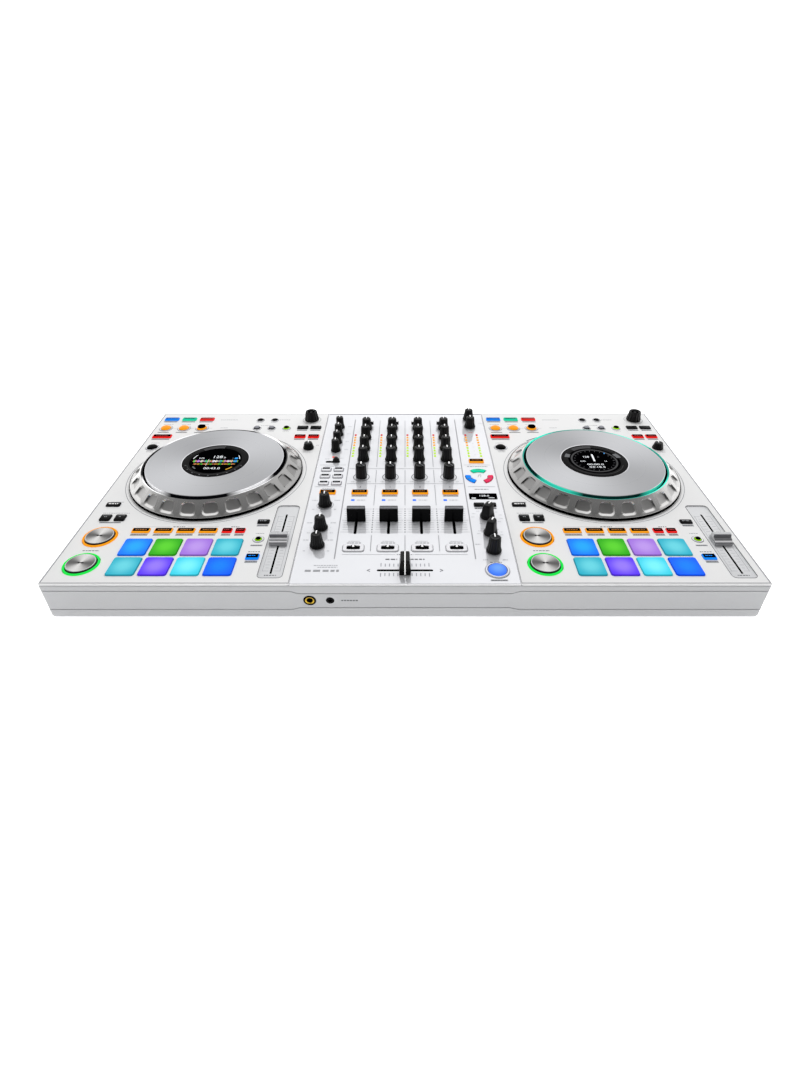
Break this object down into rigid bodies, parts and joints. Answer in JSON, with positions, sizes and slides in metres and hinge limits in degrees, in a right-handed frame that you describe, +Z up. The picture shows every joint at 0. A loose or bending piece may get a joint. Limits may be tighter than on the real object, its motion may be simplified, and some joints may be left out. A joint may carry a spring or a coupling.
{
  "type": "dj controller",
  "caption": "Wide low music controller with jog wheels, displays, lit pads, knobs and faders round a central mixer section.",
  "frame": {"origin": "on the table under the middle of the controller's bounding box", "axes": "+X to the player's right, +Y to the rear sockets, +Z up"},
  "size_m": [0.716, 0.4, 0.069],
  "materials": {
    "case_grey": "fine moulded texture",
    "plate_white": "matte warm white",
    "mixer_white": "glossy cool white",
    "panel_grey": "matte paint",
    "board_green": "solder mask",
    "foot_rubber": "matte",
    "knob_black": "satin black",
    "pad_silicone": "translucent, lit from below",
    "button_silver": "spun",
    "fader_silver": "satin",
    "ring_metal": "satin",
    "platter_silver": "spun",
    "display_glass": "polished black",
    "effect_blue": "translucent, lit from below"
  },
  "bodies": {
    "case": {"bottom_case": "case_grey", "plate_left": "plate_white", "plate_mixer": "mixer_white", "plate_right": "plate_white", "rear_panel": "panel_grey", "main_board": "board_green", "foot_front_left": "foot_rubber", "foot_front_right": "foot_rubber", "foot_rear_left": "foot_rubber", "foot_rear_right": "foot_rubber", "display_left": "display_glass", "display_right": "display_glass"},
    "jog_left": {"jog_ring_left": "ring_metal", "jog_platter_left": "platter_silver"},
    "jog_right": {"jog_ring_right": "ring_metal", "jog_platter_right": "platter_silver"},
    "tempo_fader_left": {"tempo_fader_left": "fader_silver"},
    "tempo_fader_right": {"tempo_fader_right": "fader_silver"},
    "cue_button_left": {"cue_button_left": "button_silver"},
    "play_button_left": {"play_button_left": "button_silver"},
    "cue_button_right": {"cue_button_right": "button_silver"},
    "play_button_right": {"play_button_right": "button_silver"},
    "crossfader": {"crossfader": "knob_black"},
    "channel_1_fader": {"channel_1_fader": "knob_black"},
    "channel_2_fader": {"channel_2_fader": "knob_black"},
    "channel_3_fader": {"channel_3_fader": "knob_black"},
    "channel_4_fader": {"channel_4_fader": "knob_black"},
    "effect_on_button": {"effect_on_button": "effect_blue"},
    "pad_sheet_left": {"pad_sheet_left": "pad_silicone"},
    "pad_sheet_right": {"pad_sheet_right": "pad_silicone"},
    "browse_knob_left": {"browse_knob_left": "knob_black"},
    "browse_knob_right": {"browse_knob_right": "knob_black"},
    "channel_1_trim_knob": {"channel_1_trim_knob": "knob_black"},
    "channel_1_high_knob": {"channel_1_high_knob": "knob_black"},
    "channel_1_mid_knob": {"channel_1_mid_knob": "knob_black"},
    "channel_1_low_knob": {"channel_1_low_knob": "knob_black"},
    "channel_1_filter_knob": {"channel_1_filter_knob": "knob_black"},
    "channel_2_trim_knob": {"channel_2_trim_knob": "knob_black"},
    "channel_2_high_knob": {"channel_2_high_knob": "knob_black"},
    "channel_2_mid_knob": {"channel_2_mid_knob": "knob_black"},
    "channel_2_low_knob": {"channel_2_low_knob": "knob_black"},
    "channel_2_filter_knob": {"channel_2_filter_knob": "knob_black"},
    "channel_3_trim_knob": {"channel_3_trim_knob": "knob_black"},
    "channel_3_high_knob": {"channel_3_high_knob": "knob_black"},
    "channel_3_mid_knob": {"channel_3_mid_knob": "knob_black"},
    "channel_3_low_knob": {"channel_3_low_knob": "knob_black"},
    "channel_3_filter_knob": {"channel_3_filter_knob": "knob_black"},
    "channel_4_trim_knob": {"channel_4_trim_knob": "knob_black"},
    "channel_4_high_knob": {"channel_4_high_knob": "knob_black"},
    "channel_4_mid_knob": {"channel_4_mid_knob": "knob_black"},
    "channel_4_low_knob": {"channel_4_low_knob": "knob_black"},
    "channel_4_filter_knob": {"channel_4_filter_knob": "knob_black"},
    "monitor_mix_knob": {"monitor_mix_knob": "knob_black"},
    "monitor_level_knob": {"monitor_level_knob": "knob_black"},
    "monitor_sampler_knob": {"monitor_sampler_knob": "knob_black"},
    "master_level_knob": {"master_level_knob": "knob_black"},
    "master_booth_knob": {"master_booth_knob": "knob_black"},
    "effect_select_knob": {"effect_select_knob": "knob_black"},
    "effect_channel_knob": {"effect_channel_knob": "knob_black"},
    "effect_depth_knob": {"effect_depth_knob": "knob_black"}
  },
  "joints": [
    {"name": "jog_left_turn", "type": "hinge", "parent": "case", "child": "jog_left", "pos_m": [-0.2336, 0.0117, 0.0495], "axis": [0, 0, -1], "continuous": true},
    {"name": "jog_right_turn", "type": "hinge", "parent": "case", "child": "jog_right", "pos_m": [0.2336, 0.0117, 0.0495], "axis": [0, 0, -1], "continuous": true},
    {"name": "tempo_fader_left_slide", "type": "slide", "parent": "case", "child": "tempo_fader_left", "axis": [0, 1, 0], "range_m": [-0.048, 0.048]},
    {"name": "tempo_fader_right_slide", "type": "slide", "parent": "case", "child": "tempo_fader_right", "axis": [0, 1, 0], "range_m": [-0.048, 0.048]},
    {"name": "cue_button_left_press", "type": "slide", "parent": "case", "child": "cue_button_left", "axis": [0, 0, -1], "range_m": [0, 0.0015], "stiffness_N_per_m": 600, "springref_m": -0.001},
    {"name": "play_button_left_press", "type": "slide", "parent": "case", "child": "play_button_left", "axis": [0, 0, -1], "range_m": [0, 0.0015], "stiffness_N_per_m": 600, "springref_m": -0.001},
    {"name": "cue_button_right_press", "type": "slide", "parent": "case", "child": "cue_button_right", "axis": [0, 0, -1], "range_m": [0, 0.0015], "stiffness_N_per_m": 600, "springref_m": -0.001},
    {"name": "play_button_right_press", "type": "slide", "parent": "case", "child": "play_button_right", "axis": [0, 0, -1], "range_m": [0, 0.0015], "stiffness_N_per_m": 600, "springref_m": -0.001},
    {"name": "crossfader_slide", "type": "slide", "parent": "case", "child": "crossfader", "axis": [1, 0, 0], "range_m": [-0.0225, 0.0225]},
    {"name": "channel_1_fader_slide", "type": "slide", "parent": "case", "child": "channel_1_fader", "axis": [0, 1, 0], "range_m": [-0.0225, 0.0225]},
    {"name": "channel_2_fader_slide", "type": "slide", "parent": "case", "child": "channel_2_fader", "axis": [0, 1, 0], "range_m": [-0.0225, 0.0225]},
    {"name": "channel_3_fader_slide", "type": "slide", "parent": "case", "child": "channel_3_fader", "axis": [0, 1, 0], "range_m": [-0.0225, 0.0225]},
    {"name": "channel_4_fader_slide", "type": "slide", "parent": "case", "child": "channel_4_fader", "axis": [0, 1, 0], "range_m": [-0.0225, 0.0225]},
    {"name": "effect_on_button_press", "type": "slide", "parent": "case", "child": "effect_on_button", "axis": [0, 0, -1], "range_m": [0, 0.0015], "stiffness_N_per_m": 600, "springref_m": -0.001},
    {"name": "pad_sheet_left_press", "type": "slide", "parent": "case", "child": "pad_sheet_left", "axis": [0, 0, -1], "range_m": [0, 0.001], "stiffness_N_per_m": 3000, "springref_m": -0.0008},
    {"name": "pad_sheet_right_press", "type": "slide", "parent": "case", "child": "pad_sheet_right", "axis": [0, 0, -1], "range_m": [0, 0.001], "stiffness_N_per_m": 3000, "springref_m": -0.0008},
    {"name": "browse_knob_left_turn", "type": "hinge", "parent": "case", "child": "browse_knob_left", "pos_m": [-0.1358, 0.167, 0.0495], "axis": [0, 0, -1], "continuous": true},
    {"name": "browse_knob_right_turn", "type": "hinge", "parent": "case", "child": "browse_knob_right", "pos_m": [0.3332, 0.167, 0.0495], "axis": [0, 0, -1], "continuous": true},
    {"name": "channel_1_trim_knob_turn", "type": "hinge", "parent": "case", "child": "channel_1_trim_knob", "pos_m": [-0.05412, 0.137, 0.0495], "axis": [0, 0, -1], "range_deg": [-150, 150]},
    {"name": "channel_1_high_knob_turn", "type": "hinge", "parent": "case", "child": "channel_1_high_knob", "pos_m": [-0.05412, 0.108, 0.0495], "axis": [0, 0, -1], "range_deg": [-150, 150]},
    {"name": "channel_1_mid_knob_turn", "type": "hinge", "parent": "case", "child": "channel_1_mid_knob", "pos_m": [-0.05412, 0.0765, 0.0495], "axis": [0, 0, -1], "range_deg": [-150, 150]},
    {"name": "channel_1_low_knob_turn", "type": "hinge", "parent": "case", "child": "channel_1_low_knob", "pos_m": [-0.05412, 0.0465, 0.0495], "axis": [0, 0, -1], "range_deg": [-150, 150]},
    {"name": "channel_1_filter_knob_turn", "type": "hinge", "parent": "case", "child": "channel_1_filter_knob", "pos_m": [-0.05412, 0.0037, 0.0495], "axis": [0, 0, -1], "range_deg": [-150, 150]},
    {"name": "channel_2_trim_knob_turn", "type": "hinge", "parent": "case", "child": "channel_2_trim_knob", "pos_m": [-0.01804, 0.137, 0.0495], "axis": [0, 0, -1], "range_deg": [-150, 150]},
    {"name": "channel_2_high_knob_turn", "type": "hinge", "parent": "case", "child": "channel_2_high_knob", "pos_m": [-0.01804, 0.108, 0.0495], "axis": [0, 0, -1], "range_deg": [-150, 150]},
    {"name": "channel_2_mid_knob_turn", "type": "hinge", "parent": "case", "child": "channel_2_mid_knob", "pos_m": [-0.01804, 0.0765, 0.0495], "axis": [0, 0, -1], "range_deg": [-150, 150]},
    {"name": "channel_2_low_knob_turn", "type": "hinge", "parent": "case", "child": "channel_2_low_knob", "pos_m": [-0.01804, 0.0465, 0.0495], "axis": [0, 0, -1], "range_deg": [-150, 150]},
    {"name": "channel_2_filter_knob_turn", "type": "hinge", "parent": "case", "child": "channel_2_filter_knob", "pos_m": [-0.01804, 0.0037, 0.0495], "axis": [0, 0, -1], "range_deg": [-150, 150]},
    {"name": "channel_3_trim_knob_turn", "type": "hinge", "parent": "case", "child": "channel_3_trim_knob", "pos_m": [0.01804, 0.137, 0.0495], "axis": [0, 0, -1], "range_deg": [-150, 150]},
    {"name": "channel_3_high_knob_turn", "type": "hinge", "parent": "case", "child": "channel_3_high_knob", "pos_m": [0.01804, 0.108, 0.0495], "axis": [0, 0, -1], "range_deg": [-150, 150]},
    {"name": "channel_3_mid_knob_turn", "type": "hinge", "parent": "case", "child": "channel_3_mid_knob", "pos_m": [0.01804, 0.0765, 0.0495], "axis": [0, 0, -1], "range_deg": [-150, 150]},
    {"name": "channel_3_low_knob_turn", "type": "hinge", "parent": "case", "child": "channel_3_low_knob", "pos_m": [0.01804, 0.0465, 0.0495], "axis": [0, 0, -1], "range_deg": [-150, 150]},
    {"name": "channel_3_filter_knob_turn", "type": "hinge", "parent": "case", "child": "channel_3_filter_knob", "pos_m": [0.01804, 0.0037, 0.0495], "axis": [0, 0, -1], "range_deg": [-150, 150]},
    {"name": "channel_4_trim_knob_turn", "type": "hinge", "parent": "case", "child": "channel_4_trim_knob", "pos_m": [0.05412, 0.137, 0.0495], "axis": [0, 0, -1], "range_deg": [-150, 150]},
    {"name": "channel_4_high_knob_turn", "type": "hinge", "parent": "case", "child": "channel_4_high_knob", "pos_m": [0.05412, 0.108, 0.0495], "axis": [0, 0, -1], "range_deg": [-150, 150]},
    {"name": "channel_4_mid_knob_turn", "type": "hinge", "parent": "case", "child": "channel_4_mid_knob", "pos_m": [0.05412, 0.0765, 0.0495], "axis": [0, 0, -1], "range_deg": [-150, 150]},
    {"name": "channel_4_low_knob_turn", "type": "hinge", "parent": "case", "child": "channel_4_low_knob", "pos_m": [0.05412, 0.0465, 0.0495], "axis": [0, 0, -1], "range_deg": [-150, 150]},
    {"name": "channel_4_filter_knob_turn", "type": "hinge", "parent": "case", "child": "channel_4_filter_knob", "pos_m": [0.05412, 0.0037, 0.0495], "axis": [0, 0, -1], "range_deg": [-150, 150]},
    {"name": "monitor_mix_knob_turn", "type": "hinge", "parent": "case", "child": "monitor_mix_knob", "pos_m": [-0.0923, -0.06, 0.0495], "axis": [0, 0, -1], "range_deg": [-150, 150]},
    {"name": "monitor_level_knob_turn", "type": "hinge", "parent": "case", "child": "monitor_level_knob", "pos_m": [-0.0923, -0.106, 0.0495], "axis": [0, 0, -1], "range_deg": [-150, 150]},
    {"name": "monitor_sampler_knob_turn", "type": "hinge", "parent": "case", "child": "monitor_sampler_knob", "pos_m": [-0.0923, -0.138, 0.0495], "axis": [0, 0, -1], "range_deg": [-150, 150]},
    {"name": "master_level_knob_turn", "type": "hinge", "parent": "case", "child": "master_level_knob", "pos_m": [0.0923, 0.168, 0.0495], "axis": [0, 0, -1], "range_deg": [-150, 150]},
    {"name": "master_booth_knob_turn", "type": "hinge", "parent": "case", "child": "master_booth_knob", "pos_m": [0.0923, 0.143, 0.0495], "axis": [0, 0, -1], "range_deg": [-150, 150]},
    {"name": "effect_select_knob_turn", "type": "hinge", "parent": "case", "child": "effect_select_knob", "pos_m": [0.0923, -0.084, 0.0495], "axis": [0, 0, -1], "range_deg": [-150, 150]},
    {"name": "effect_channel_knob_turn", "type": "hinge", "parent": "case", "child": "effect_channel_knob", "pos_m": [0.0923, -0.116, 0.0495], "axis": [0, 0, -1], "range_deg": [-150, 150]},
    {"name": "effect_depth_knob_turn", "type": "hinge", "parent": "case", "child": "effect_depth_knob", "pos_m": [0.0923, -0.147, 0.0495], "axis": [0, 0, -1], "range_deg": [-150, 150]}
  ]
}
